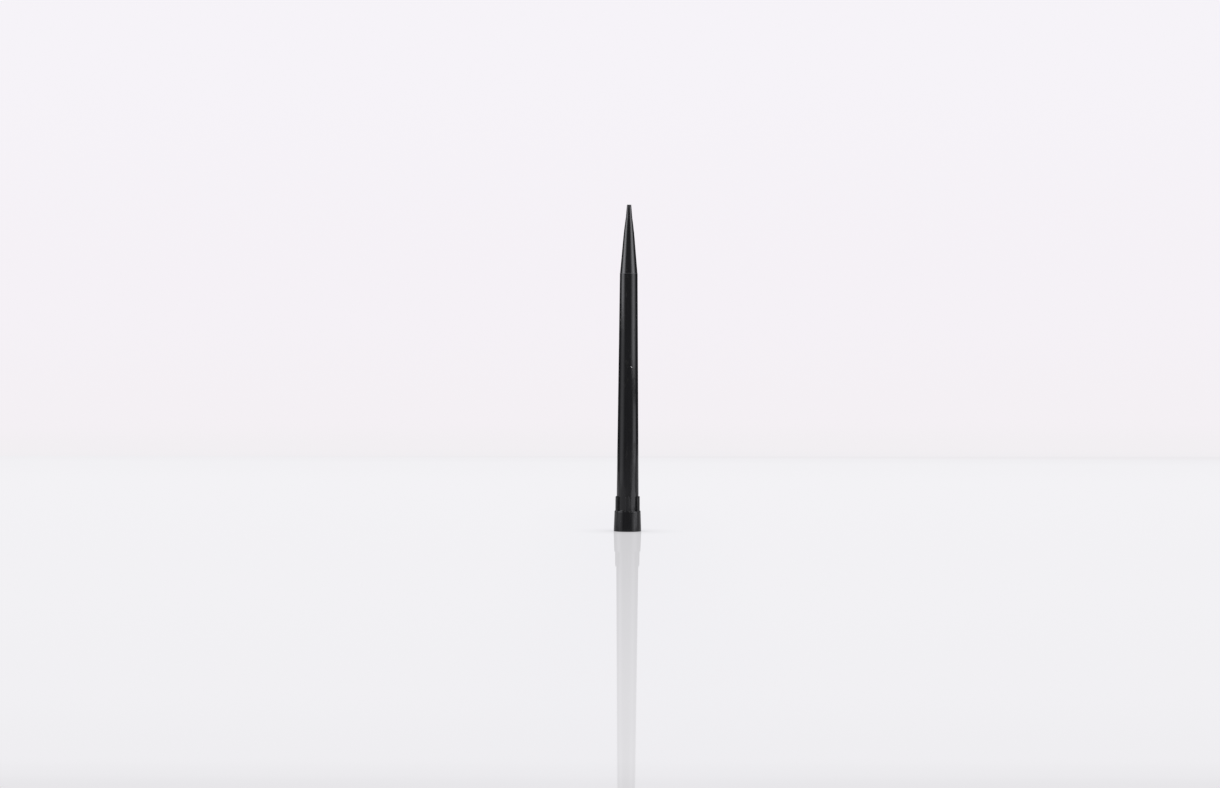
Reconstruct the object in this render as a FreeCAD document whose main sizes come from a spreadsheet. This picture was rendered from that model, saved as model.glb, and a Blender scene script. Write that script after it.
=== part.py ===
import FreeCAD, Part
import math
import os

import Sketcher

# A pipette tip for robotic pipettors, 1000 microlitre size: one thin-walled moulding of black,
# carbon-filled polypropylene. It stands on its wide mouth, with the nozzle pointing up.
# Origin: centre of the mouth face. +Z runs along the axis, towards the nozzle's end.
# Lengths are in millimetres and angles in degrees.

NODE = "pipette_tip"
NEAR = 0.001  # how close an edge must be to the place it is looked for

# name, value, meaning
DIMENSIONS = [
    ("total_length", 95.1, "mouth face to nozzle end"),
    ("mouth_radius", 4.03, "outside of the collar at the mouth"),
    ("mouth_edge_round", 0.12, "round on the mouth's outer edge"),
    ("collar_draft", 2.15, "half angle of the collar"),
    ("shoulder_height", 6.05, "top of the collar"),
    ("shoulder_round", 0.35, "round on the collar's top edge"),
    ("barrel_foot_radius", 3.235, "outside of the barrel where it leaves the collar"),
    ("barrel_draft", 0.548, "half angle of the barrel"),
    ("step_height", 75.1, "witness step, where the mould's barrel sleeve meets its nozzle insert"),
    ("step_depth", 0.04, "radial depth of the witness step, which is left sharp"),
    ("nozzle_draft", 4.95, "half angle of the nozzle's first cone"),
    ("ogive_start", 85.0, "height where the nozzle starts to close faster"),
    ("ogive_end", 91.4, "height of the neck, where the slender end starts"),
    ("neck_radius", 0.935, "outside of the neck"),
    ("nozzle_end_radius", 0.625, "outside of the nozzle's end"),
    ("nozzle_end_round", 0.06, "round on the nozzle's end"),
    ("rib_count", 6, "ribs round the barrel's foot"),
    ("rib_width", 1.25, "width of a rib at its crest"),
    ("rib_end_height", 10.15, "end faces of the ribs, which rest on a rack's deck"),
    ("rib_sink", 0.25, "how far a rib's profile starts below the shoulder"),
    ("rib_draft", 0.4, "half angle of the rib crests"),
    ("rib_edge_round", 0.15, "round on the crest edges of a rib"),
    ("rib_root_round", 0.12, "round where the ribs and the shoulder meet the barrel"),
    ("socket_radius", 3.30, "land that seals on the pipettor's channel"),
    ("socket_top", 5.20, "stop face inside the socket"),
    ("lead_in_height", 1.60, "height of the flared lead-in"),
    ("lead_in_radius", 3.52, "inside of the mouth"),
    ("barrel_wall", 0.56, "wall of the barrel"),
    ("ogive_wall", 0.48, "wall where the ogive starts"),
    ("neck_wall", 0.36, "wall at the neck"),
    ("orifice_radius", 0.36, "hole in the nozzle's end"),
    ("bore_entry_bevel", 0.25, "bevel where the bore leaves the stop face"),
]


def drop(rise, draft):
    """How far a drafted wall moves in over a rise, as an expression."""
    return f"({rise}) * tan(dims.{draft} * 1 deg)"


# Radii that follow from the drafts, as expressions
SHOULDER_RADIUS = "dims.mouth_radius - " + drop("dims.shoulder_height", "collar_draft")
BARREL_RISE = "dims.step_height - dims.shoulder_height"
BARREL_END_RADIUS = "dims.barrel_foot_radius - " + drop(BARREL_RISE, "barrel_draft")
NOZZLE_FOOT_RADIUS = f"{BARREL_END_RADIUS} - dims.step_depth"
NOZZLE_RISE = "dims.ogive_start - dims.step_height"
OGIVE_RADIUS = f"{NOZZLE_FOOT_RADIUS} - " + drop(NOZZLE_RISE, "nozzle_draft")
RIB_RISE = "dims.rib_end_height - dims.shoulder_height"
RIB_TOP_RADIUS = f"{SHOULDER_RADIUS} - " + drop(RIB_RISE, "rib_draft")
BORE_FOOT_RADIUS = "dims.barrel_foot_radius - dims.barrel_wall"
BORE_END_RADIUS = f"{BARREL_END_RADIUS} - dims.barrel_wall"

# Outlines as (radius, height) corners, anticlockwise
OUTSIDE_CORNERS = [
    ("0", "0"),
    ("dims.mouth_radius", "0"),
    (SHOULDER_RADIUS, "dims.shoulder_height"),
    ("dims.barrel_foot_radius", "dims.shoulder_height"),
    (BARREL_END_RADIUS, "dims.step_height"),
    (NOZZLE_FOOT_RADIUS, "dims.step_height"),
    (OGIVE_RADIUS, "dims.ogive_start"),
    ("dims.neck_radius", "dims.ogive_end"),
    ("dims.nozzle_end_radius", "dims.total_length"),
    ("0", "dims.total_length"),
]
CORE_CORNERS = [
    ("0", "0"),
    ("dims.lead_in_radius", "0"),
    ("dims.socket_radius", "dims.lead_in_height"),
    ("dims.socket_radius", "dims.socket_top"),
    (BORE_FOOT_RADIUS, "dims.socket_top"),
    (BORE_END_RADIUS, "dims.step_height"),
    (f"{OGIVE_RADIUS} - dims.ogive_wall", "dims.ogive_start"),
    ("dims.neck_radius - dims.neck_wall", "dims.ogive_end"),
    ("dims.orifice_radius", "dims.total_length"),
    ("0", "dims.total_length"),
]
OGIVE_SIDE = 6  # in both outlines, the side from ogive_start to ogive_end

RIB_CORNERS = [
    (BORE_FOOT_RADIUS, "dims.shoulder_height - dims.rib_sink"),
    (SHOULDER_RADIUS, "dims.shoulder_height - dims.rib_sink"),
    (RIB_TOP_RADIUS, "dims.rib_end_height"),
    (BORE_FOOT_RADIUS, "dims.rib_end_height"),
]


def dimension_sheet(doc):
    """The driving dimensions, one to a row."""
    sheet = doc.addObject("Spreadsheet::Sheet", "dims")
    for row, (name, value, meaning) in enumerate(DIMENSIONS, start=1):
        sheet.set(f"A{row}", name)
        sheet.set(f"B{row}", str(value))
        sheet.set(f"C{row}", meaning)
        sheet.setAlias(f"B{row}", name)
    doc.recompute()


def number(obj, expression):
    """An expression's value."""
    return float(obj.evalExpression(expression))


def origin_feature(body, role):
    """One of the body's own origin planes or axes."""
    return next(f for f in body.Origin.OriginFeatures if f.Role == role)


def tangent_arc(before, start, end):
    """The arc from start to end that carries on in the direction from before to start."""
    chord = end - start
    turn = (start - before).getAngle(chord)
    outward = FreeCAD.Vector(chord.y, -chord.x, 0).normalize()
    sagitta = chord.Length / 2 * math.tan(turn / 2)
    return Part.Arc(start, start + chord / 2 + outward * sagitta, end)


def hold(sketch, side, corner, axis, expression):
    """Hold one coordinate of a corner at its expression, or on the sketch's axis where that is 0."""
    if expression == "0":
        axis_line = {"X": -2, "Y": -1}[axis]
        sketch.addConstraint(Sketcher.Constraint("PointOnObject", side, corner, axis_line))
        return
    value = number(sketch, expression)
    index = sketch.addConstraint(Sketcher.Constraint("Distance" + axis, side, corner, value))
    sketch.setExpression(f"Constraints[{index}]", expression)


def outline(body, name, plane, corners, arc_side=None):
    """A closed sketch through the corners, straight but for one side that is a tangent arc."""
    sketch = body.newObject("Sketcher::SketchObject", name)
    sketch.AttachmentSupport = (origin_feature(body, plane), [""])
    sketch.MapMode = "FlatFace"
    points = [FreeCAD.Vector(number(sketch, r), number(sketch, z), 0) for r, z in corners]
    ends = []
    for side, start in enumerate(points):
        end = points[(side + 1) % len(points)]
        if side == arc_side:
            sketch.addGeometry(tangent_arc(points[side - 1], start, end))
        else:
            sketch.addGeometry(Part.LineSegment(start, end))
        forward = sketch.getPoint(side, 1).isEqual(start, NEAR)
        ends.append((1, 2) if forward else (2, 1))
    for side, (radius, height) in enumerate(corners):
        last = (side - 1) % len(corners)
        joint = "Tangent" if side == arc_side else "Coincident"
        sketch.addConstraint(Sketcher.Constraint(joint, last, ends[last][1], side, ends[side][0]))
        hold(sketch, side, ends[side][0], "X", radius)
        hold(sketch, side, ends[side][0], "Y", height)
    body.Document.recompute()
    return sketch


def turned(body, kind, name, sketch):
    """A sketch turned all the way round the axis, as a Revolution or a Groove."""
    feature = body.newObject("PartDesign::" + kind, name)
    feature.Profile = sketch
    feature.ReferenceAxis = (origin_feature(body, "Z_Axis"), [""])
    feature.Angle = 360
    body.Document.recompute()
    return feature


def dressed(body, kind, name, chosen, size):
    """A Fillet or Chamfer on those edges of the body's tip that the test chooses."""
    base = body.Tip
    names = [f"Edge{i}" for i, edge in enumerate(base.Shape.Edges, start=1) if chosen(edge)]
    feature = body.newObject("PartDesign::" + kind, name)
    feature.Base = (base, names)
    feature.setExpression({"Fillet": "Radius", "Chamfer": "Size"}[kind], size)
    body.Document.recompute()


def radii(edge):
    """Distances from the axis, at points along an edge."""
    return [math.hypot(point.x, point.y) for point in edge.discretize(5)]


def ring(body, radius, height):
    """The test for the circle round the axis with this radius, at this height."""
    r = number(body, radius)
    z = number(body, height)

    def chosen(edge):
        box = edge.BoundBox
        level = abs(box.ZMin - z) < NEAR and abs(box.ZMax - z) < NEAR
        return level and all(abs(found - r) < NEAR for found in radii(edge))

    return chosen


def outside_form(body):
    """Collar, barrel and nozzle: one turned form, with its mouth, shoulder and end rounded."""
    sketch = outline(body, "OutsideProfile", "XZ_Plane", OUTSIDE_CORNERS, OGIVE_SIDE)
    turned(body, "Revolution", "Outside", sketch)
    mouth = ring(body, "dims.mouth_radius", "0")
    dressed(body, "Fillet", "MouthEdge", mouth, "dims.mouth_edge_round")
    shoulder = ring(body, SHOULDER_RADIUS, "dims.shoulder_height")
    dressed(body, "Fillet", "ShoulderEdge", shoulder, "dims.shoulder_round")
    nozzle_end = ring(body, "dims.nozzle_end_radius", "dims.total_length")
    dressed(body, "Fillet", "NozzleEndEdge", nozzle_end, "dims.nozzle_end_round")


def rib_ring(body):
    """Ribs in line with the collar, each turned through its own width and repeated round it."""
    rib = turned(body, "Revolution", "Rib", outline(body, "RibProfile", "YZ_Plane", RIB_CORNERS))
    rib.Midplane = True
    rib.setExpression("Angle", f"2 * asin(dims.rib_width / 2 / ({SHOULDER_RADIUS}))")
    pattern = body.newObject("PartDesign::PolarPattern", "RibRing")
    pattern.Originals = [rib]
    pattern.Axis = (origin_feature(body, "Z_Axis"), [""])
    pattern.Angle = 360
    pattern.setExpression("Occurrences", "dims.rib_count")
    body.Tip = pattern
    body.Document.recompute()
    crest = number(body, RIB_TOP_RADIUS) - NEAR
    foot = number(body, "dims.barrel_foot_radius") + NEAR
    low = number(body, "dims.shoulder_height") - NEAR
    high = number(body, "dims.rib_end_height") + NEAR

    def on_crest(edge):
        reaches_end = high - 2 * NEAR < edge.BoundBox.ZMax < high
        return reaches_end and min(radii(edge)) > crest

    def on_root(edge):
        beside_ribs = low < edge.BoundBox.ZMin and edge.BoundBox.ZMax < high
        return beside_ribs and max(radii(edge)) < foot

    dressed(body, "Fillet", "RibCrestEdges", on_crest, "dims.rib_edge_round")
    dressed(body, "Fillet", "RibRootEdges", on_root, "dims.rib_root_round")


def core_form(body):
    """The hollow that the core pin leaves: lead-in, socket, stop face, bore and orifice."""
    sketch = outline(body, "CoreProfile", "XZ_Plane", CORE_CORNERS, OGIVE_SIDE)
    before = body.Tip.Shape.Volume
    core = turned(body, "Groove", "Core", sketch)
    removed = before - core.Shape.Volume
    expected = Part.Face(sketch.Shape.Wires[0]).revolve(
        FreeCAD.Vector(0, 0, 0), FreeCAD.Vector(0, 0, 1), 360
    )
    if abs(removed - expected.Volume) > NEAR * expected.Volume:
        raise RuntimeError(f"the core removed {removed:.2f} mm3, not {expected.Volume:.2f} mm3")
    bore_entry = ring(body, BORE_FOOT_RADIUS, "dims.socket_top")
    dressed(body, "Chamfer", "BoreEntry", bore_entry, "dims.bore_entry_bevel")


def pipette_tip(doc):
    """The whole moulding as one body."""
    body = doc.addObject("PartDesign::Body", NODE)
    body.Label = NODE
    body.Placement = FreeCAD.Placement(FreeCAD.Vector(0, 0, 0), FreeCAD.Rotation())
    outside_form(body)
    rib_ring(body)
    core_form(body)
    return body


def check(doc, bodies):
    """Stop if any object failed, or any sub-part is empty or not valid."""
    for obj in doc.Objects:
        if {"Invalid", "Error"} & set(obj.State):
            raise RuntimeError(f"{obj.Name} failed: {obj.State}")
    for body in bodies:
        if body.Shape.isNull() or not body.Shape.isValid() or len(body.Shape.Solids) != 1:
            raise RuntimeError(f"{body.Label} is not one valid solid")


doc = FreeCAD.newDocument("PipetteTip")
dimension_sheet(doc)
bodies = [pipette_tip(doc)]
doc.recompute()
check(doc, bodies)
os.makedirs("parts", exist_ok=True)
for body in bodies:
    body.Shape.exportStep(f"parts/{body.Label}.step")
    print(body.Label, f"{body.Shape.Volume:.1f} mm3", body.Shape.BoundBox)
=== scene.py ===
import math

import bpy
import numpy as np
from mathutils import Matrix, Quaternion, Vector


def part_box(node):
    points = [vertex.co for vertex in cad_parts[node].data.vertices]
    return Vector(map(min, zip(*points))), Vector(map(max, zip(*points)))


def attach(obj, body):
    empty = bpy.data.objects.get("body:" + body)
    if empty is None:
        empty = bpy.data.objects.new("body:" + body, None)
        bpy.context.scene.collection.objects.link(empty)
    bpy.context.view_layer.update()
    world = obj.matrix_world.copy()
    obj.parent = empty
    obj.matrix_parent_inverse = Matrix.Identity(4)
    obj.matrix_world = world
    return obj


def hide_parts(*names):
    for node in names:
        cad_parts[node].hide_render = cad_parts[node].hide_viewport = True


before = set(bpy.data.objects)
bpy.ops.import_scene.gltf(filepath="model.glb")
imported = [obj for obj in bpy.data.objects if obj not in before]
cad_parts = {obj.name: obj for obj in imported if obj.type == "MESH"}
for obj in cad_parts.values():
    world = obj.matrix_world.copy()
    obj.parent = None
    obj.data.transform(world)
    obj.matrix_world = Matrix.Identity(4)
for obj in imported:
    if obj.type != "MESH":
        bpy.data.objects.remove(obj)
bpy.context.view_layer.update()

# A black conductive pipette tip that stands on its mouth, on a pale table.
# Shapes are worked out in millimetres, in the part's own frame, and put into the meshes in metres.
# A turn is an angle round the tip from its front, which faces -Y, towards +X.

MM = 0.001
NODE = "pipette_tip"
PART_LOW, PART_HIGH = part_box(NODE)


# ---------------------------------------------------------------- sizes of the tip, millimetres

LENGTH = (PART_HIGH.z - PART_LOW.z) / MM
MOUTH_RADIUS = (PART_HIGH.x - PART_LOW.x) / 2 / MM
MOUTH_ROUND = 0.12
COLLAR_DRAFT = math.radians(2.15)
SHOULDER_HEIGHT = 6.05
SHOULDER_ROUND = 0.35
BARREL_FOOT_RADIUS = 3.235
BARREL_DRAFT = math.radians(0.548)
STEP_HEIGHT = 75.1
STEP_DEPTH = 0.04
STEP_ROUND = 0.015
NOZZLE_DRAFT = math.radians(4.95)
OGIVE_START = 85.0
OGIVE_END = 91.4
NECK_RADIUS = 0.935
END_RADIUS = 0.625
END_ROUND = 0.06

RIB_COUNT = 6
RIB_WIDTH = 1.25
RIB_END_HEIGHT = 10.15
RIB_MIDDLE_HEIGHT = 8.0  # where the angles that its rounds take up are worked out
RIB_DRAFT = math.radians(0.4)
RIB_EDGE_ROUND = 0.15
RIB_ROOT_ROUND = 0.12

SOCKET_RADIUS = 3.30
SOCKET_TOP = 5.20
LEAD_IN_HEIGHT = 1.60
LEAD_IN_RADIUS = 3.52
BARREL_WALL = 0.56
OGIVE_WALL = 0.48
NECK_WALL = 0.36
ORIFICE_RADIUS = 0.36
BORE_ENTRY_BEVEL = 0.25
INNER_EDGE_ROUND = 0.03

FLECK_HEIGHT = 47.86
FLECK_TURN = math.radians(19)
FLECK_LEAN = math.radians(-45)
FLECK_HALF_LENGTH = 0.34
FLECK_HALF_WIDTH = 0.050
FLECK_RISE = 0.03


# ---------------------------------------------------------------- outlines, as (radius, height) rows

GUARD = 0.02  # how far the first and last rows of a wall lie from the rounds at its ends


def at(radius, height):
    """A point of an outline."""
    return np.array([radius, height])


def straight(start, end, count):
    """Points at equal steps from start to end, with start and without end."""
    return start + (end - start) * np.arange(count)[:, None] / count


def wall(start, end, count):
    """Points at equal steps between start and end. The first and the last lie close to the ends, so
    that the shading of a round there does not spread along the wall."""
    close = (end - start) / np.linalg.norm(end - start) * GUARD
    return np.linspace(start + close, end - close, count)


def bend(before, corner, after, radius, count):
    """The arc that rounds a corner, both ends included. Its centre lies on the corner's bisector,
    radius / sin(half the corner's angle) away, and the points turn about it at equal angles."""
    back = (before - corner) / np.linalg.norm(before - corner)
    on = (after - corner) / np.linalg.norm(after - corner)
    half = math.acos(np.clip(back @ on, -1, 1)) / 2
    centre = corner + (back + on) / np.linalg.norm(back + on) * radius / math.sin(half)
    start = corner + back * radius / math.tan(half) - centre
    end = corner + on * radius / math.tan(half) - centre
    turn = math.pi - 2 * half
    t = np.linspace(0, 1, count)[:, None]
    return centre + (np.sin((1 - t) * turn) * start + np.sin(t * turn) * end) / math.sin(turn)


def bow(before, start, end, count):
    """The arc from start to end that carries on the line from before to start, without its end.
    The arc turns by twice the angle between that line and the chord."""
    chord = end - start
    line = start - before
    turn = math.atan2(line[0] * chord[1] - line[1] * chord[0], line @ chord)
    radius = np.linalg.norm(chord) / 2 / math.sin(turn)
    side = np.array([-line[1], line[0]]) / np.linalg.norm(line)
    centre = start + side * radius
    angle = 2 * turn * np.arange(count)[:, None] / count
    spoke = start - centre
    across = np.array([-spoke[1], spoke[0]])
    return centre + np.cos(angle) * spoke + np.sin(angle) * across


# A drafted face's radius is the one at its foot, less the rise from there times its draft's tangent.


def collar(height):
    return at(MOUTH_RADIUS - height * math.tan(COLLAR_DRAFT), height)


def barrel(height):
    drop = (height - SHOULDER_HEIGHT) * math.tan(BARREL_DRAFT)
    return at(BARREL_FOOT_RADIUS - drop, height)


def crest(height):
    drop = (height - SHOULDER_HEIGHT) * math.tan(RIB_DRAFT)
    return at(collar(SHOULDER_HEIGHT)[0] - drop, height)


def nozzle(height):
    drop = (height - STEP_HEIGHT) * math.tan(NOZZLE_DRAFT)
    return at(barrel(STEP_HEIGHT)[0] - STEP_DEPTH - drop, height)


def smooth(value, low, high):
    """0 below low and 1 above high, with an S-shaped rise between them."""
    t = np.clip((value - low) / (high - low), 0, 1)
    return t * t * (3 - 2 * t)


# Rows of the rib zone. A row lies on two outlines at once: in a channel it goes in over the shoulder
# and up the barrel, and on a rib it goes straight up the crest and in over the rib's end.
SHOULDER_ROWS = 8
FLAT_ROWS = 3
ROOT_ROWS = 6
RIB_ROWS = 6
END_ROWS = 6
FACE_ROWS = 3

# How evenly a row's columns are spread: 0 is the ribs' own spacing, and 1 is equal steps.
SHARED_EVENNESS = 0.12  # where the two outlines part and meet
COLLAR_EVEN_HEIGHT = 1.0  # equal steps below this
BARREL_EVEN_HEIGHT = 16.0  # and above this
FLECK_ROWS_REACH = 0.65  # rows lie close together this far above and below the fleck


def rib_zone():
    """The channel outline, the crest outline, and the evenness of the columns, row for row."""
    shoulder = collar(SHOULDER_HEIGHT)
    foot = barrel(SHOULDER_HEIGHT)
    top = barrel(STEP_HEIGHT)
    crest_end = crest(RIB_END_HEIGHT)
    crest_foot = barrel(RIB_END_HEIGHT)
    shoulder_arc = bend(collar(0), shoulder, foot, SHOULDER_ROUND, SHOULDER_ROWS)
    root_arc = bend(shoulder, foot, top, RIB_ROOT_ROUND, ROOT_ROWS)
    end_arc = bend(shoulder, crest_end, crest_foot, RIB_EDGE_ROUND, END_ROWS)
    foot_arc = bend(crest_end, crest_foot, top, RIB_ROOT_ROUND, ROOT_ROWS)
    crest_start = crest(root_arc[-1][1])
    channel_top = barrel(end_arc[0][1])
    channel = [
        shoulder_arc,
        wall(shoulder_arc[-1], root_arc[0], FLAT_ROWS - 1),
        root_arc,
        wall(root_arc[-1], channel_top, RIB_ROWS - 1),
        straight(channel_top, foot_arc[-1], END_ROWS + FACE_ROWS + ROOT_ROWS - 2),
        foot_arc[-1:],
    ]
    ridge = [
        straight(shoulder_arc[0], crest_start, SHOULDER_ROWS + FLAT_ROWS + ROOT_ROWS - 2),
        crest_start[None],
        wall(crest_start, end_arc[0], RIB_ROWS - 1),
        end_arc,
        wall(end_arc[-1], foot_arc[0], FACE_ROWS - 1),
        foot_arc,
    ]
    channel, ridge = np.concatenate(channel), np.concatenate(ridge)
    row = np.arange(len(channel))
    first = 1 - smooth(row, 0, SHOULDER_ROWS)
    last = smooth(row, len(row) - ROOT_ROWS - FACE_ROWS, len(row) - 1)
    return channel, ridge, SHARED_EVENNESS * (first + last)


def outside():
    """The outside from the mouth's inner edge to the nozzle's end: collar, rib zone, barrel with
    close rows at the fleck, witness step, cone, ogive and slender end. Returns what rib_zone does."""
    channel, ridge, even = rib_zone()
    step_out, step_in = barrel(STEP_HEIGHT), nozzle(STEP_HEIGHT)
    even_start = barrel(BARREL_EVEN_HEIGHT)
    fleck_low = barrel(FLECK_HEIGHT - FLECK_ROWS_REACH)
    fleck_high = barrel(FLECK_HEIGHT + FLECK_ROWS_REACH)
    ogive = nozzle(OGIVE_START)
    neck = at(NECK_RADIUS, OGIVE_END)
    lip = bend(at(LEAD_IN_RADIUS, 0), collar(0), collar(SHOULDER_HEIGHT), MOUTH_ROUND, count=6)
    step = bend(barrel(SHOULDER_HEIGHT), step_out, step_in, STEP_ROUND, count=4)
    heel = bend(step_out, step_in, ogive, STEP_ROUND, count=3)
    end = bend(neck, at(END_RADIUS, LENGTH), at(0, LENGTH), END_ROUND, count=6)
    below = [lip, wall(lip[-1], channel[0], count=7)]
    above = [
        wall(channel[-1], even_start, count=7),
        straight(even_start, fleck_low, count=11),
        straight(fleck_low, fleck_high, count=20),
        fleck_high[None],
        wall(fleck_high, step[0], count=9),
        step,
        heel,
        wall(heel[-1], ogive, count=8),
        bow(step_in, ogive, neck, count=20),
        neck[None],
        wall(neck, end[0], count=7),
        end,
    ]
    below, above = np.concatenate(below), np.concatenate(above)
    towards_ribs = smooth(below[:, 1], COLLAR_EVEN_HEIGHT, SHOULDER_HEIGHT)
    beyond_ribs = smooth(above[:, 1], RIB_END_HEIGHT, BARREL_EVEN_HEIGHT)
    even_below = 1 - (1 - SHARED_EVENNESS) * towards_ribs
    even_above = SHARED_EVENNESS + (1 - SHARED_EVENNESS) * beyond_ribs
    return (
        np.concatenate([below, channel, above]),
        np.concatenate([below, ridge, above]),
        np.concatenate([even_below, even, even_above]),
    )


def inside():
    """The hollow from the orifice down to the mouth: slender bore, ogive, cone, barrel bore with its
    bevelled entry, stop face, socket and flared lead-in."""
    mouth = at(LEAD_IN_RADIUS, 0)
    orifice = at(ORIFICE_RADIUS, LENGTH)
    neck = at(NECK_RADIUS - NECK_WALL, OGIVE_END)
    ogive = at(nozzle(OGIVE_START)[0] - OGIVE_WALL, OGIVE_START)
    cone = at(barrel(STEP_HEIGHT)[0] - BARREL_WALL, STEP_HEIGHT)
    foot = at(BARREL_FOOT_RADIUS - BARREL_WALL, SOCKET_TOP)
    entry = foot + (cone - foot) * BORE_ENTRY_BEVEL / (STEP_HEIGHT - SOCKET_TOP)
    bevel = at(foot[0] + BORE_ENTRY_BEVEL, SOCKET_TOP)
    stop = at(SOCKET_RADIUS, SOCKET_TOP)
    land = at(SOCKET_RADIUS, LEAD_IN_HEIGHT)
    edge = bend(at(END_RADIUS, LENGTH), orifice, neck, INNER_EDGE_ROUND, count=4)
    corner = bend(bevel, stop, land, INNER_EDGE_ROUND, count=3)
    rim = bend(land, mouth, at(MOUTH_RADIUS, 0), INNER_EDGE_ROUND, count=4)
    downwards = [
        edge,
        straight(edge[-1], neck, count=6)[1:],
        neck[None],
        bow(cone, ogive, neck, count=14)[:0:-1],
        straight(ogive, cone, count=6),
        straight(cone, entry, count=16),
        straight(entry, bevel, count=3),
        straight(bevel, corner[0], count=3),
        corner,
        straight(corner[-1], land, count=4)[1:],
        straight(land, rim[0], count=4),
        rim,
    ]
    return np.concatenate(downwards)


# ---------------------------------------------------------------- columns round the tip

# Columns of half a rib and half a channel
CREST_COLUMNS = 4
ROUND_COLUMNS = 5
CHANNEL_COLUMNS = 10


def columns():
    """One sixth of the way round is a rib with half a channel on each side. Returns, for every
    column, its angle where ribs are, its angle where columns are spread evenly, and how far it lies
    towards the crest: 0 on the barrel, 1 on the rib's crest. A rib's side is a plane through the
    axis, so its columns share one angle, and its two rounds are quarter circles."""
    crest_radius = crest(RIB_MIDDLE_HEIGHT)[0]
    barrel_radius = barrel(RIB_MIDDLE_HEIGHT)[0]
    rise = crest_radius - barrel_radius
    half = math.asin(RIB_WIDTH / 2 / collar(SHOULDER_HEIGHT)[0])
    edge_angle = RIB_EDGE_ROUND / crest_radius
    root_angle = RIB_ROOT_ROUND / barrel_radius
    quarter = np.linspace(0, math.pi / 2, ROUND_COLUMNS)
    angles = [
        np.linspace(0, half - edge_angle, CREST_COLUMNS + 1)[:-1],
        half - edge_angle * (1 - np.sin(quarter)),
        half + root_angle * (1 - np.cos(quarter)),
        np.linspace(half + root_angle, math.pi / RIB_COUNT, CHANNEL_COLUMNS + 1)[1:],
    ]
    weights = [
        np.ones(CREST_COLUMNS),
        1 - RIB_EDGE_ROUND / rise * (1 - np.cos(quarter)),
        RIB_ROOT_ROUND / rise * (1 - np.sin(quarter)),
        np.zeros(CHANNEL_COLUMNS),
    ]
    angle, weight = np.concatenate(angles), np.concatenate(weights)
    angle = np.concatenate([-angle[:0:-1], angle[:-1]])
    weight = np.concatenate([weight[:0:-1], weight[:-1]])
    even = -math.pi / RIB_COUNT + 2 * math.pi / RIB_COUNT * np.arange(len(angle)) / len(angle)
    turns = 2 * math.pi * np.arange(RIB_COUNT)[:, None] / RIB_COUNT
    return (turns + angle).ravel(), (turns + even).ravel(), np.tile(weight, RIB_COUNT)


def fleck_rise(angle, height):
    """How far the fleck stands proud: (1 - e) squared, where e grows as the square of the distance
    from the fleck's middle and is 1 on an ellipse that leans."""
    across = (angle - FLECK_TURN) * barrel(FLECK_HEIGHT)[0]
    up = height - FLECK_HEIGHT
    along = across * math.cos(FLECK_LEAN) + up * math.sin(FLECK_LEAN)
    aside = -across * math.sin(FLECK_LEAN) + up * math.cos(FLECK_LEAN)
    e = (along / FLECK_HALF_LENGTH) ** 2 + (aside / FLECK_HALF_WIDTH) ** 2
    return FLECK_RISE * np.clip(1 - e, 0, 1) ** 2


# ---------------------------------------------------------------- the moulding

SHARP_ANGLE = math.radians(38)

# Wear: how rubbed an edge is, from 0 to 1, and over what distance that fades, millimetres
MOUTH_WEAR, MOUTH_WEAR_REACH = 0.30, 0.25
SHOULDER_WEAR, SHOULDER_WEAR_REACH = 0.15, 0.18
SHOULDER_WEAR_HEIGHT = SHOULDER_HEIGHT - 0.1
NOZZLE_WEAR, NOZZLE_WEAR_REACH = 0.70, 0.12
RIB_WEAR = 0.15
RIB_EDGE_WEIGHT, RIB_WEIGHT_REACH = 0.93, 0.06  # in crest weight, not in millimetres
MOUTH_BAND, SHOULDER_BAND, RIB_BAND = 0.2, 0.3, 0.1  # how far in from the outside wear can be


def loop_faces(rows, around):
    """Quads of a grid that is closed both ways, as a ring's surface is."""
    row = np.arange(rows)[:, None]
    column = np.arange(around)[None]
    next_row, next_column = (row + 1) % rows, (column + 1) % around
    quads = [
        row * around + column,
        row * around + next_column,
        next_row * around + next_column,
        next_row * around + column,
    ]
    return np.stack(np.broadcast_arrays(*quads), axis=-1).reshape(-1, 4)


def bell(distance, reach):
    """A bell curve: 1 at no distance, and 1 / e at the reach."""
    return np.exp(-((distance / reach) ** 2))


def edge_wear(section, weight):
    """How rubbed each point is, 0 to 1: most on the mouth's outer edge, the shoulder, the long edges
    of the ribs' crests and the end of the nozzle. It fades as a bell curve along the height, and
    across a rib along the crest weight."""
    radius, height = section[..., 0], section[..., 1]
    at_mouth = radius > MOUTH_RADIUS - MOUTH_BAND
    at_shoulder = radius > crest(SHOULDER_HEIGHT)[0] - SHOULDER_BAND
    on_ribs = (height > SHOULDER_HEIGHT) & (height < RIB_END_HEIGHT + RIB_BAND)
    on_ribs = on_ribs & (radius > barrel(height)[0] - RIB_BAND)
    mouth = bell(height, MOUTH_WEAR_REACH) * at_mouth
    shoulder = bell(height - SHOULDER_WEAR_HEIGHT, SHOULDER_WEAR_REACH) * at_shoulder
    ribs = bell(weight - RIB_EDGE_WEIGHT, RIB_WEIGHT_REACH) * on_ribs
    end = bell(LENGTH - height, NOZZLE_WEAR_REACH)
    worn = MOUTH_WEAR * mouth + SHOULDER_WEAR * shoulder + RIB_WEAR * ribs + NOZZLE_WEAR * end
    return np.clip(worn, 0, 1)


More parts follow.
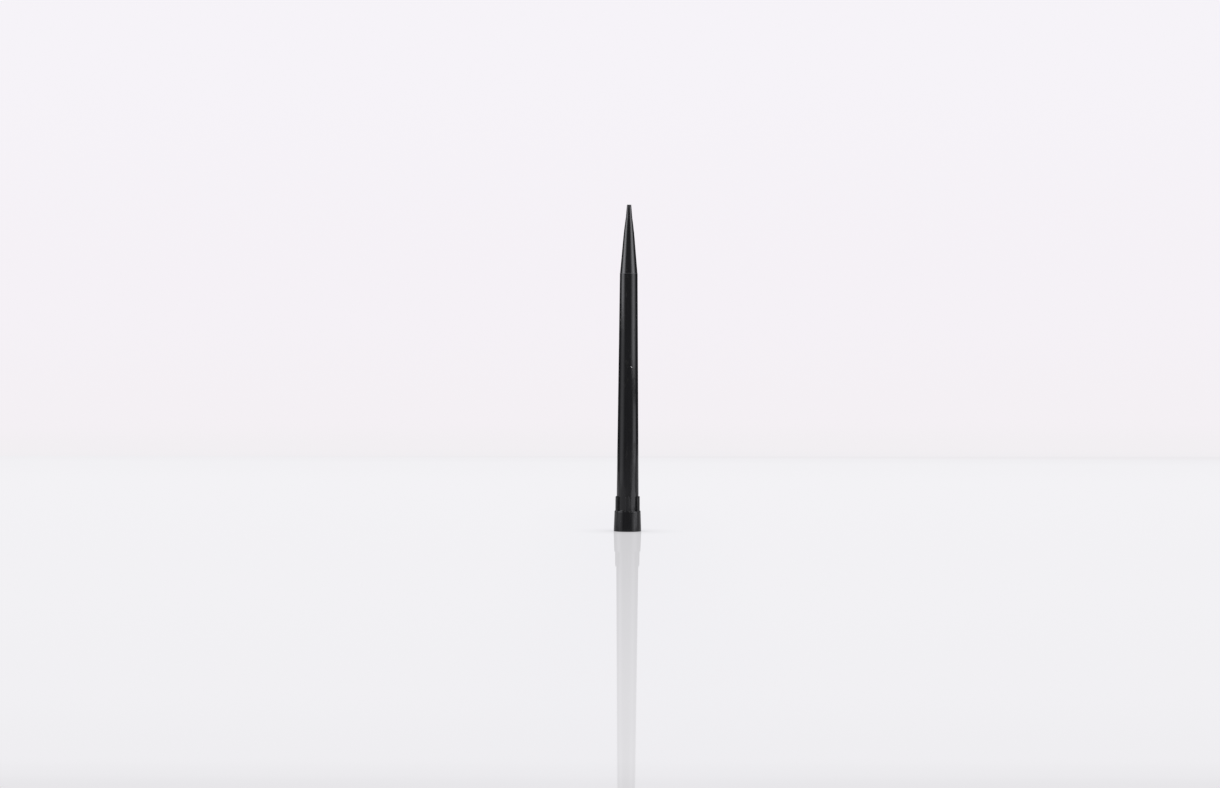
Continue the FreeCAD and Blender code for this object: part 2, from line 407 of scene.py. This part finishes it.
def tip_moulding():
    """The whole moulding as one closed surface of two parameters: a row's place on the section's
    closed outline, and a column's angle round the axis. On the outside each point is the channel
    outline plus the column's crest weight times the way from it to the crest outline."""
    channel, ridge, evenness = outside()
    hollow = inside()
    channel = np.concatenate([channel, hollow])
    ridge = np.concatenate([ridge, hollow])
    evenness = np.concatenate([evenness, np.ones(len(hollow))])[:, None]
    rib_angle, even_angle, weight = columns()
    angle = rib_angle * (1 - evenness) + even_angle * evenness
    section = channel[:, None] + (ridge - channel)[:, None] * weight[None, :, None]
    radius, height = section[..., 0], section[..., 1]
    on_barrel = (radius > barrel(height)[0] - STEP_DEPTH) & (height < STEP_HEIGHT)
    radius = radius + fleck_rise(angle, height) * on_barrel
    points = np.stack([radius * np.sin(angle), -radius * np.cos(angle), height], axis=-1)

    mesh = bpy.data.meshes.new("tip_moulding")
    mesh.from_pydata((points.reshape(-1, 3) * MM).tolist(), [], loop_faces(*radius.shape).tolist())
    mesh.validate()
    mesh.polygons.foreach_set("use_smooth", np.ones(len(mesh.polygons), bool))
    mesh.set_sharp_from_angle(angle=SHARP_ANGLE)
    mesh.update()
    wear = mesh.attributes.new("edge_wear", "FLOAT", "POINT")
    wear.data.foreach_set("value", edge_wear(section, weight).ravel().astype(np.float32))
    mesh.materials.append(conductive_polypropylene())
    piece = bpy.data.objects.new("tip_moulding", mesh)
    bpy.context.scene.collection.objects.link(piece)
    return piece


# ---------------------------------------------------------------- materials


def tone(code):
    """Linear colour from an sRGB hex value."""
    srgb = np.array([int(code[i:i + 2], 16) for i in (1, 3, 5)]) / 255
    linear = np.where(srgb <= 0.04045, srgb / 12.92, ((srgb + 0.055) / 1.055) ** 2.4)
    return (*linear.tolist(), 1)


def add(tree, kind, links=None, **settings):
    """A node with its settings and links. Links give an input's name or number, and a value, another
    node's output, or another node, which means its first output. Where a node has several sockets
    of one name, the one in use is meant."""
    made = tree.nodes.new(kind)
    for name, value in settings.items():
        setattr(made, name, value)
    for name, value in (links or {}).items():
        if isinstance(name, int):
            socket = made.inputs[name]
        else:
            socket = next(entry for entry in made.inputs if entry.name == name and entry.enabled)
        if isinstance(value, bpy.types.Node):
            value = next(result for result in value.outputs if result.enabled)
        if isinstance(value, bpy.types.NodeSocket):
            tree.links.new(value, socket)
        else:
            socket.default_value = value
    return made


def new_material(name):
    material = bpy.data.materials.new(name)
    material.use_nodes = True
    material.node_tree.nodes.clear()
    return material, material.node_tree


def grain(tree, across, along, detail=2.0, shift=0.0):
    """Noise with features about across millimetres wide and along millimetres long, up the tip.
    A shift takes it from another part of the noise, so that no two patterns are alike."""
    place = add(tree, "ShaderNodeTexCoord").outputs["Object"]
    size = (1 / (across * MM), 1 / (across * MM), 1 / (along * MM))
    scaled = add(
        tree,
        "ShaderNodeMapping",
        {"Vector": place, "Location": (shift, shift, shift), "Scale": size},
    )
    return add(
        tree,
        "ShaderNodeTexNoise",
        {"Vector": scaled, "Scale": 1.0, "Detail": detail, "Roughness": 0.55},
    )


SPOT_DEPTH = 0.45  # less than the wall, so that a spot does not come through into the bore
SPOT_SOFTNESS = 0.1  # of its rim, as a share of its half sizes
RIM_GRAIN = 1.3  # how coarse the noise at its rim is, as a share of its half width


def spot(tree, turn, height, lean, half_length, half_width, ragged):
    """A spot on the barrel's outside, 1 in it and 0 round it. The Mapping node moves the spot's middle
    to the origin, turns it upright and divides by its half sizes, so that the spot is a unit ball,
    and noise times ragged roughens its rim. Turn and lean are in radians, lengths in millimetres."""
    radius = barrel(height)[0]
    middle = np.array([radius * math.sin(turn), -radius * math.cos(turn), height]) * MM
    place = add(tree, "ShaderNodeTexCoord").outputs["Object"]
    placed = add(
        tree,
        "ShaderNodeMapping",
        {
            "Vector": place,
            "Location": middle.tolist(),
            "Rotation": (0, -lean, turn),
            "Scale": (half_length * MM, SPOT_DEPTH * MM, half_width * MM),
        },
        vector_type="TEXTURE",
    )
    far = add(tree, "ShaderNodeVectorMath", {0: placed}, operation="LENGTH").outputs["Value"]
    noise = grain(tree, half_width * RIM_GRAIN, half_width * RIM_GRAIN, shift=height)
    push = ragged * 4
    pushed = add(tree, "ShaderNodeMath", {0: noise, 1: push, 2: far}, operation="MULTIPLY_ADD")
    rim = 1 + push / 2  # noise is a half on average
    ends = {"From Min": rim + SPOT_SOFTNESS, "From Max": rim - SPOT_SOFTNESS - ragged / 2}
    return add(
        tree,
        "ShaderNodeMapRange",
        {"Value": pushed, **ends},
        interpolation_type="SMOOTHSTEP",
    )


STEP_HIGHLIGHT_HALF_WIDTH = 0.06  # of the painted highlight, a pale band at the witness step, millimetres
DUST_CELL = 1.8  # millimetres
DUST_RADII = (0.05, 0.03)  # outer and inner, as shares of a cell
DUST_LEVEL = 0.84  # a cell has a grain where its random number is above this


def painted_step_highlight(tree, place):
    """1 on a thin band along the witness step at the joint of the two cavity inserts, where a pale
    painted highlight stands for the line of light that the step catches.
    """
    height = add(tree, "ShaderNodeSeparateXYZ", {0: place}).outputs["Z"]
    return add(
        tree,
        "ShaderNodeMath",
        {0: height, 1: STEP_HEIGHT * MM, 2: STEP_HIGHLIGHT_HALF_WIDTH * MM},
        operation="COMPARE",
    )


def dust_grains(tree, place):
    """1 on a dust grain, a small ball round the point of about one in six Voronoi cells."""
    cells = add(
        tree,
        "ShaderNodeTexVoronoi",
        {"Vector": place, "Scale": 1 / (DUST_CELL * MM), "Randomness": 1.0},
    )
    ball = add(
        tree,
        "ShaderNodeMapRange",
        {
            "Value": cells.outputs["Distance"],
            "From Min": DUST_RADII[0],
            "From Max": DUST_RADII[1],
        },
    )
    number = add(tree, "ShaderNodeSeparateColor", {0: cells.outputs["Color"]}).outputs[0]
    chosen = add(tree, "ShaderNodeMath", {0: number, 1: DUST_LEVEL}, operation="GREATER_THAN")
    return add(tree, "ShaderNodeMath", {0: ball, 1: chosen}, operation="MULTIPLY")


def conductive_polypropylene():
    """Polypropylene filled with carbon black, injection moulded against steel that was polished
    lengthwise. The eye gets a deep, faintly cool black. Its gloss spreads round the tip and stays
    crisp along it, because the polishing lines run along. In it are faint flow streaks, a speckle of
    carbon, dull handling smears, a few dust grains, rubbed edges and one pale fleck. Painted into the
    colour as well are a dark painted shadow trace beside the fleck and a pale painted highlight along
    the witness step."""
    material, tree = new_material("moulded_black_polypropylene")
    place = add(tree, "ShaderNodeTexCoord").outputs["Object"]
    flow = grain(tree, 0.45, 14.0, detail=3.0)
    speckle = grain(tree, 0.12, 0.12, shift=7.0)  # carbon clusters are finer, too fine to show
    lines = grain(tree, 0.10, 30.0, shift=3.0)  # polishing lines, about ten times as coarse as real
    ripple = grain(tree, 2.2, 3.5, detail=1.0, shift=11.0)
    handled = grain(tree, 1.3, 5.0, detail=3.0, shift=21.0)
    smears = add(
        tree,
        "ShaderNodeMapRange",
        {"Value": handled, "From Min": 0.56, "From Max": 0.70},
        interpolation_type="SMOOTHSTEP",
    )
    worn = add(tree, "ShaderNodeAttribute", attribute_name="edge_wear").outputs["Fac"]
    rubbed = add(tree, "ShaderNodeMath", {0: worn, 1: speckle}, operation="MULTIPLY")
    dust = dust_grains(tree, place)

    # the fleck, a dark painted shadow trace that leads to it, and a faint grain beside it
    fleck = spot(
        tree,
        turn=FLECK_TURN,
        height=FLECK_HEIGHT,
        lean=FLECK_LEAN,
        half_length=FLECK_HALF_LENGTH,
        half_width=FLECK_HALF_WIDTH,
        ragged=0.12,
    )
    painted_shadow_trace = spot(
        tree,
        turn=math.radians(7.3),
        height=48.45,
        lean=math.radians(-38),
        half_length=0.38,
        half_width=0.07,
        ragged=0.15,
    )
    speck = spot(
        tree,
        turn=math.radians(1.5),
        height=47.9,
        lean=0.0,
        half_length=0.10,
        half_width=0.09,
        ragged=0.15,
    )
    faint = add(tree, "ShaderNodeMath", {0: speck, 1: 0.05}, operation="MULTIPLY")
    pale = add(tree, "ShaderNodeMath", {0: fleck, 1: faint}, operation="MAXIMUM")

    # colour: two blacks in the mottle of flow and speckle, and the rest laid over them in turn
    mottle = 0.0
    for pattern, amount in ((flow, 0.7), (speckle, 0.3)):
        mottle = add(
            tree,
            "ShaderNodeMath",
            {0: pattern, 1: amount, 2: mottle},
            operation="MULTIPLY_ADD",
        )
    share = add(tree, "ShaderNodeMapRange", {"Value": mottle, "From Min": 0.36, "From Max": 0.64})
    colour = add(
        tree,
        "ShaderNodeMix",
        {"Factor": share, "A": tone("#0d0d0f"), "B": tone("#121214")},
        data_type="RGBA",
    )
    layers = (
        (smears, 0.5, "#1b1b19"),
        (rubbed, 1.0, "#38383a"),
        # painted highlight: a pale band along the witness step
        (painted_step_highlight(tree, place), 0.9, "#404042"),
        (dust, 0.45, "#77757a"),
        # painted shadow: the dark trace that leads to the fleck
        (painted_shadow_trace, 1.0, "#030303"),
        (pale, 1.0, "#cfcdcc"),
    )
    for mask, strength, code in layers:
        share = add(tree, "ShaderNodeMath", {0: mask, 1: strength}, operation="MULTIPLY")
        colour = add(
            tree,
            "ShaderNodeMix",
            {"Factor": share, "A": colour, "B": tone(code)},
            data_type="RGBA",
        )

    # roughness: a crisp skin, duller in smears, at rubbed edges and on the flecks
    roughness = add(
        tree,
        "ShaderNodeMapRange",
        {"Value": lines, "From Min": 0.3, "From Max": 0.7, "To Min": 0.085, "To Max": 0.12},
    )
    for mask, amount in ((smears, 0.16), (rubbed, 0.35), (pale, 0.45)):
        roughness = add(
            tree,
            "ShaderNodeMath",
            {0: mask, 1: amount, 2: roughness},
            operation="MULTIPLY_ADD",
        )
    roughness = add(tree, "ShaderNodeMath", {0: roughness, 1: 0.75}, operation="MINIMUM")

    # relief in metres: shrinkage ripple, polishing lines, the skin's finest grain, and dust
    relief = 0.0
    for pattern, depth in ((ripple, 5e-6), (lines, 4e-7), (speckle, 5e-7), (dust, 2e-5)):
        relief = add(
            tree,
            "ShaderNodeMath",
            {0: pattern, 1: depth, 2: relief},
            operation="MULTIPLY_ADD",
        )
    normal = add(tree, "ShaderNodeBump", {"Height": relief, "Distance": 1.0, "Strength": 1.0})
    round_axis = add(tree, "ShaderNodeTangent", direction_type="RADIAL", axis="Z")
    shader = add(
        tree,
        "ShaderNodeBsdfPrincipled",
        {
            "Base Color": colour,
            "Roughness": roughness,
            "IOR": 1.49,
            "Specular IOR Level": 0.32,
            "Anisotropic": 0.9,
            "Tangent": round_axis,
            "Normal": normal,
        },
    )
    add(tree, "ShaderNodeOutputMaterial", {"Surface": shader})
    return material


def ramp_along(tree, place, direction, stops):
    """A colour that changes along one direction, from rows of (how far, hex). How far a place lies
    along it is the dot product of the place and the direction."""
    low, high = stops[0][0], stops[-1][0]
    along = add(tree, "ShaderNodeVectorMath", {0: place, 1: direction}, operation="DOT_PRODUCT")
    share = add(
        tree,
        "ShaderNodeMapRange",
        {"Value": along.outputs["Value"], "From Min": low, "From Max": high},
    )
    ramp = add(tree, "ShaderNodeValToRGB", {"Fac": share})
    band = ramp.color_ramp
    band.interpolation = "EASE"
    while len(band.elements) < len(stops):
        band.elements.new(1.0)
    for element, (place_along, code) in zip(band.elements, stops):
        element.position = (place_along - low) / (high - low)
        element.color = tone(code)
    return ramp.outputs["Color"]


# The table, in metres
TABLE_LEFT, TABLE_RIGHT = -0.40, 0.70
TABLE_FRONT, TABLE_BACK = -1.2, 0.578
TABLE_SKEW = 0.16  # how far its back edge runs off square, metres a metre
TONE_SKEW = 0.07  # how far its lines of equal tone do
# painted shade: the tones darken in a band about half a metre in front of the tip and in a line along
# the back edge
TABLE_TONES = (
    (-0.517, "#e6e5e8"),
    (-0.504, "#e7e6e9"),
    (-0.493, "#ecebee"),
    (-0.479, "#efeef1"),
    (-0.400, "#f1f0f3"),
    (-0.200, "#f2f1f4"),
    (0.300, "#f3f2f5"),
    (0.480, "#f2f1f4"),
    (0.540, "#f0eff2"),
    (0.578, "#edebee"),
)
NEAR_MIDDLE = (0.0087, -0.25, 0)  # the glossy ground: round the tip and well in front of it
NEAR_TURN = math.radians(2.0)
NEAR_HALF = (0.035, 0.45, 1)
NEAR_FADE = {"X": 0.1, "Y": 0.6}  # the gloss fades outwards from these shares of its half sizes
GLOSS_POWER = 1.8  # above 1 the gloss falls off faster than Fresnel's law as the view gets steeper
TABLE_GLOSS = 0.58  # how much of that gloss there is in the middle of the glossy ground
TABLE_MIRRORED = 0.6  # how bright the table is in the tip's gloss, as a share of its own tone: painted shade
CONTACT_REACH = 0.014  # how near the tip has to be for the painted contact shadow to darken the table
CONTACT_POWER = 0.55  # below 1 that painted shadow darkens less


def near_tip(tree, place):
    """1 on the table in the middle of the glossy ground, and 0 outside it: the product of one fade
    along it and one across. The Mapping node makes its corners lie at 1 and -1."""
    ground = add(
        tree,
        "ShaderNodeMapping",
        {"Vector": place, "Location": NEAR_MIDDLE, "Rotation": (0, 0, NEAR_TURN), "Scale": NEAR_HALF},
        vector_type="TEXTURE",
    )
    away = add(tree, "ShaderNodeVectorMath", {0: ground}, operation="ABSOLUTE")
    split = add(tree, "ShaderNodeSeparateXYZ", {0: away})
    fades = [
        add(
            tree,
            "ShaderNodeMapRange",
            {"Value": split.outputs[axis], "From Min": 1.0, "From Max": start},
            interpolation_type="SMOOTHSTEP",
        )
        for axis, start in NEAR_FADE.items()
    ]
    return add(tree, "ShaderNodeMath", {0: fades[0], 1: fades[1]}, operation="MULTIPLY")


def table_laminate():
    """Glossy white laminate: a white body under a thin clear skin that mirrors at a low angle. To the
    camera and in mirrors the body glows in its plain tone, darker where the tip stands close, which is
    a painted contact shadow, and darker again in mirrors, which is painted shade. To all other light
    it is an ordinary matt face. The gloss fades out away from the tip."""
    material, tree = new_material("white_laminate")
    place = add(tree, "ShaderNodeTexCoord").outputs["Object"]
    colour = ramp_along(tree, place, (-TONE_SKEW, 1, 0), TABLE_TONES)
    path = add(tree, "ShaderNodeLightPath")

    # body: plain to the camera, in mirrors and through glass, with a painted contact shadow and
    # painted shade in mirrors, and lit to scattered light
    # painted contact shadow: ambient occlusion darkens the glow near the tip
    open_sky = add(tree, "ShaderNodeAmbientOcclusion", {"Distance": CONTACT_REACH}, samples=16)
    painted_contact_shadow = add(
        tree,
        "ShaderNodeMath",
        {0: open_sky.outputs["AO"], 1: CONTACT_POWER},
        operation="POWER",
    )
    # painted shade: the table is dimmer where the tip's gloss shows it
    painted_mirror_shade = add(
        tree,
        "ShaderNodeMath",
        {0: path.outputs["Is Glossy Ray"], 1: TABLE_MIRRORED - 1, 2: 1.0},
        operation="MULTIPLY_ADD",
    )
    strength = add(tree, "ShaderNodeMath", {0: painted_contact_shadow, 1: painted_mirror_shade}, operation="MULTIPLY")
    seen = path.outputs["Is Camera Ray"]
    for ray in ("Is Glossy Ray", "Is Transmission Ray"):
        seen = add(tree, "ShaderNodeMath", {0: seen, 1: path.outputs[ray]}, operation="MAXIMUM")
    lit = add(tree, "ShaderNodeBsdfDiffuse", {"Color": colour})
    plain = add(tree, "ShaderNodeEmission", {"Color": colour, "Strength": strength})
    body = add(tree, "ShaderNodeMixShader", {0: seen, 1: lit, 2: plain})

    # skin
    fresnel = add(tree, "ShaderNodeFresnel", {"IOR": 1.5})
    steep = add(tree, "ShaderNodeMath", {0: fresnel, 1: GLOSS_POWER}, operation="POWER")
    near = near_tip(tree, place)
    skin = add(tree, "ShaderNodeMath", {0: near, 1: TABLE_GLOSS}, operation="MULTIPLY")
    gloss = add(tree, "ShaderNodeMath", {0: steep, 1: skin}, operation="MULTIPLY")
    mirror = add(tree, "ShaderNodeBsdfGlossy", {"Color": (1, 1, 1, 1), "Roughness": 0.03})
    face = add(tree, "ShaderNodeMixShader", {0: gloss, 1: body, 2: mirror})
    add(tree, "ShaderNodeOutputMaterial", {"Surface": face})
    return material


# ---------------------------------------------------------------- the studio

LAMP_WHITE = "#fafaff"
SHINE_HEIGHT = 0.0005  # clears the table
OVERHEAD_BACK = 0.1  # how far behind the tip it hangs
PALE_WALLS = ((0, 0.70), (90, 0.75), (180, 0.83), (270, 0.75))  # turn in degrees, and radiance


def table_top():
    """The table as one flat face, level with the mouth, with its back edge a little off square."""
    corners = [
        (TABLE_LEFT, TABLE_FRONT, 0),
        (TABLE_RIGHT, TABLE_FRONT, 0),
        (TABLE_RIGHT, TABLE_BACK + TABLE_RIGHT * TABLE_SKEW, 0),
        (TABLE_LEFT, TABLE_BACK + TABLE_LEFT * TABLE_SKEW, 0),
    ]
    mesh = bpy.data.meshes.new("table")
    mesh.from_pydata(corners, [], [(0, 1, 2, 3)])
    mesh.update()
    mesh.materials.append(table_laminate())
    sheet = bpy.data.objects.new("table", mesh)
    bpy.context.scene.collection.objects.link(sheet)
    return sheet


def alone(thing):
    """A collection of one object, for the lamps that shine on that object and on no other."""
    collection = bpy.data.collections.new(thing.name + "_alone")
    collection.objects.link(thing)
    return collection


def outward(turn):
    """The level direction away from the tip at a turn in degrees."""
    return Vector((math.sin(math.radians(turn)), -math.cos(math.radians(turn)), 0))


def flat_lamp(name, receivers, width, depth, radiance, code=LAMP_WHITE):
    """A flat lamp, not seen itself. Its radiance is in watts per square metre and steradian, and it
    shines on its receivers alone, or on everything where they are None."""
    lamp = bpy.data.lights.new(name, "AREA")
    lamp.shape = "RECTANGLE"
    lamp.size, lamp.size_y = width, depth
    lamp.energy = radiance * math.pi * width * depth
    lamp.color = tone(code)[:3]
    holder = bpy.data.objects.new(name, lamp)
    holder.visible_camera = False
    holder.light_linking.receiver_collection = receivers
    bpy.context.scene.collection.objects.link(holder)
    return holder


def softbox(name, receivers, turn, reach, low, high, radiance, fade=4.0, lean=0.0, distance=0.9):
    """A soft panel that stands upright and faces the tip, brightest along its middle: its radiance
    falls towards both sides as (1 - x squared) to the power fade, where x is 1 at the side. Reach is
    how far the panel goes to each side of its turn, in degrees. Lean turns the panel in its own
    plane, in degrees, and below 0 the side of the larger turn hangs lower."""
    width = 2 * distance * math.tan(math.radians(reach))
    holder = flat_lamp(name, receivers, width, high - low, radiance)
    holder.data.use_nodes = True
    tree = holder.data.node_tree
    tree.nodes.clear()
    face = add(tree, "ShaderNodeNewGeometry")
    across = add(tree, "ShaderNodeSeparateXYZ", {0: face.outputs["Parametric"]}).outputs["X"]
    x = add(tree, "ShaderNodeMath", {0: across, 1: 2.0, 2: -1.0}, operation="MULTIPLY_ADD")
    squared = add(tree, "ShaderNodeMath", {0: x, 1: x}, operation="MULTIPLY")
    rest = add(tree, "ShaderNodeMath", {0: 1.0, 1: squared}, operation="SUBTRACT")
    faded = add(tree, "ShaderNodeMath", {0: rest, 1: fade}, operation="POWER")
    glow = add(tree, "ShaderNodeEmission", {"Strength": faded})
    add(tree, "ShaderNodeOutputLight", {"Surface": glow})
    holder.location = outward(turn) * distance + Vector((0, 0, (low + high) / 2))
    holder.rotation_mode = "QUATERNION"
    upright = outward(turn).to_track_quat("Z", "Y")
    holder.rotation_quaternion = upright @ Quaternion((0, 0, 1), math.radians(lean))


def table_shine(name, receivers, turn, near, far, width, radiance):
    """A sheet that lies on the table, from near to far metres from the tip, and shines up at it. It
    stands for the image of the softboxes that the tip sees in the table's gloss."""
    holder = flat_lamp(name, receivers, width, far - near, radiance)
    holder.location = outward(turn) * (near + far) / 2 + Vector((0, 0, SHINE_HEIGHT))
    holder.rotation_euler = (math.pi, 0, math.radians(turn))


def overhead(size, height, radiance):
    """A square lamp that hangs level over the table and shines on everything."""
    holder = flat_lamp("overhead", None, size, size, radiance, "#ffffff")
    holder.location = (0, OVERHEAD_BACK, height)


ROOM_SLOPE = 0.0066  # how far the bands of the pale background run off level
ROOM_TONES = (
    (-0.0400, "#efedf0"),
    (-0.0339, "#f2eff2"),
    (-0.0253, "#f4f0f4"),
    (0.0127, "#f5f1f6"),
    (0.1038, "#f6f3f8"),
)
DIM_NEAR, DIM_FAR = 0.27, 0.05  # levels of the dim room in its near half and at its far end
FAR_END = 0.5  # the Y of a unit direction from which the dim room has its far level


def room():
    """A pale room to the camera and through glass, in bands by the sine of the height angle. All
    other light finds the room dim, and dimmer in its far half than in its near half."""
    world = bpy.data.worlds.new("studio")
    bpy.context.scene.world = world
    world.use_nodes = True
    tree = world.node_tree
    tree.nodes.clear()
    direction = add(tree, "ShaderNodeTexCoord").outputs["Generated"]
    bands = ramp_along(tree, direction, (-ROOM_SLOPE, 0, 1), ROOM_TONES)
    backward = add(tree, "ShaderNodeSeparateXYZ", {0: direction}).outputs["Y"]
    level = add(
        tree,
        "ShaderNodeMapRange",
        {
            "Value": backward,
            "From Min": 0.0,
            "From Max": FAR_END,
            "To Min": DIM_NEAR,
            "To Max": DIM_FAR,
        },
    )
    path = add(tree, "ShaderNodeLightPath")
    seen = add(
        tree,
        "ShaderNodeMath",
        {0: path.outputs["Is Camera Ray"], 1: path.outputs["Is Transmission Ray"]},
        operation="MAXIMUM",
    )
    pale = add(tree, "ShaderNodeBackground", {"Color": bands, "Strength": 1.0})
    dim = add(tree, "ShaderNodeBackground", {"Color": (1, 1, 1, 1), "Strength": level})
    mix = add(tree, "ShaderNodeMixShader", {0: seen, 1: dim, 2: pale})
    add(tree, "ShaderNodeOutputWorld", {"Surface": mix})


CAMERA_DISTANCE = 0.875
CAMERA_HEIGHT = 0.055
CAMERA_TURN = 2.0
CAMERA_LENS = 88.6
SENSOR_WIDTH = 36
CAMERA_ROLL = math.radians(0.288)
CAMERA_NEAREST, CAMERA_FARTHEST = 0.01, 20
AIM_LEFT = 0.00529
AIM_HEIGHT = 0.03996


def camera():
    """A little above the middle of the tip and to its right, aimed lower and to the tip's left."""
    data = bpy.data.cameras.new("camera")
    data.lens = CAMERA_LENS
    data.sensor_width = SENSOR_WIDTH
    data.clip_start, data.clip_end = CAMERA_NEAREST, CAMERA_FARTHEST
    holder = bpy.data.objects.new("camera", data)
    place = outward(CAMERA_TURN) * CAMERA_DISTANCE + Vector((0, 0, CAMERA_HEIGHT))
    target = Vector((0, 0, AIM_HEIGHT)) - outward(CAMERA_TURN + 90) * AIM_LEFT
    holder.location = place
    holder.rotation_mode = "QUATERNION"
    look = (target - place).to_track_quat("-Z", "Y")
    holder.rotation_quaternion = look @ Quaternion((0, 0, 1), CAMERA_ROLL)
    bpy.context.scene.collection.objects.link(holder)
    bpy.context.scene.camera = holder


# ---------------------------------------------------------------- the scene

tip = tip_moulding()
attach(tip, "root")
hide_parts(NODE)
table = table_top()

# The table mirrors a pale room in place of the softboxes, which shine on the tip alone.
table_alone = alone(table)
for turn, radiance in PALE_WALLS:
    softbox(
        f"pale_wall_{turn}",
        table_alone,
        turn=turn,
        reach=45,
        low=0.0,
        high=3.0,
        radiance=radiance,
        fade=0.0,
        distance=3.0,
    )

tip_alone = alone(tip)
right = {"receivers": tip_alone, "lean": -0.6}
softbox("softbox_right_low", turn=66, reach=43, low=0.0525, high=0.20, radiance=3.8, **right)
softbox("softbox_right_high", turn=65, reach=43, low=0.20, high=0.90, radiance=6.2, **right)
softbox(
    "softbox_right_foot",
    tip_alone,
    turn=78,
    reach=23,
    low=-0.020,
    high=0.0340,
    radiance=2.2,
    fade=0.5,
    lean=-0.9,
)
softbox(
    "sill_right",
    tip_alone,
    turn=52,
    reach=16,
    low=0.0,
    high=0.0060,
    radiance=0.9,
    fade=0.5,
    distance=0.05,
)
left = {"receivers": tip_alone, "lean": -0.5}
softbox("softbox_left_low", turn=-78, reach=40, low=0.084, high=0.20, radiance=4.5, **left)
softbox("softbox_left_high", turn=-73, reach=41, low=0.20, high=0.90, radiance=6.8, **left)
softbox(
    "softbox_left_foot",
    turn=-70,
    reach=35,
    low=-0.020,
    high=0.083,
    radiance=1.13,
    fade=2.0,
    **left,
)
overhead(size=0.6, height=1.1, radiance=2.6)
table_shine("table_shine_right", tip_alone, turn=65, near=0.17, far=0.56, width=0.26, radiance=1.85)
table_shine("table_shine_far", tip_alone, turn=61, near=0.50, far=1.45, width=0.68, radiance=0.65)
table_shine("table_shine_left", tip_alone, turn=-68, near=0.10, far=0.62, width=0.50, radiance=0.35)
room()
camera()
bpy.context.scene.view_settings.view_transform = "Standard"

bpy.context.view_layer.update()
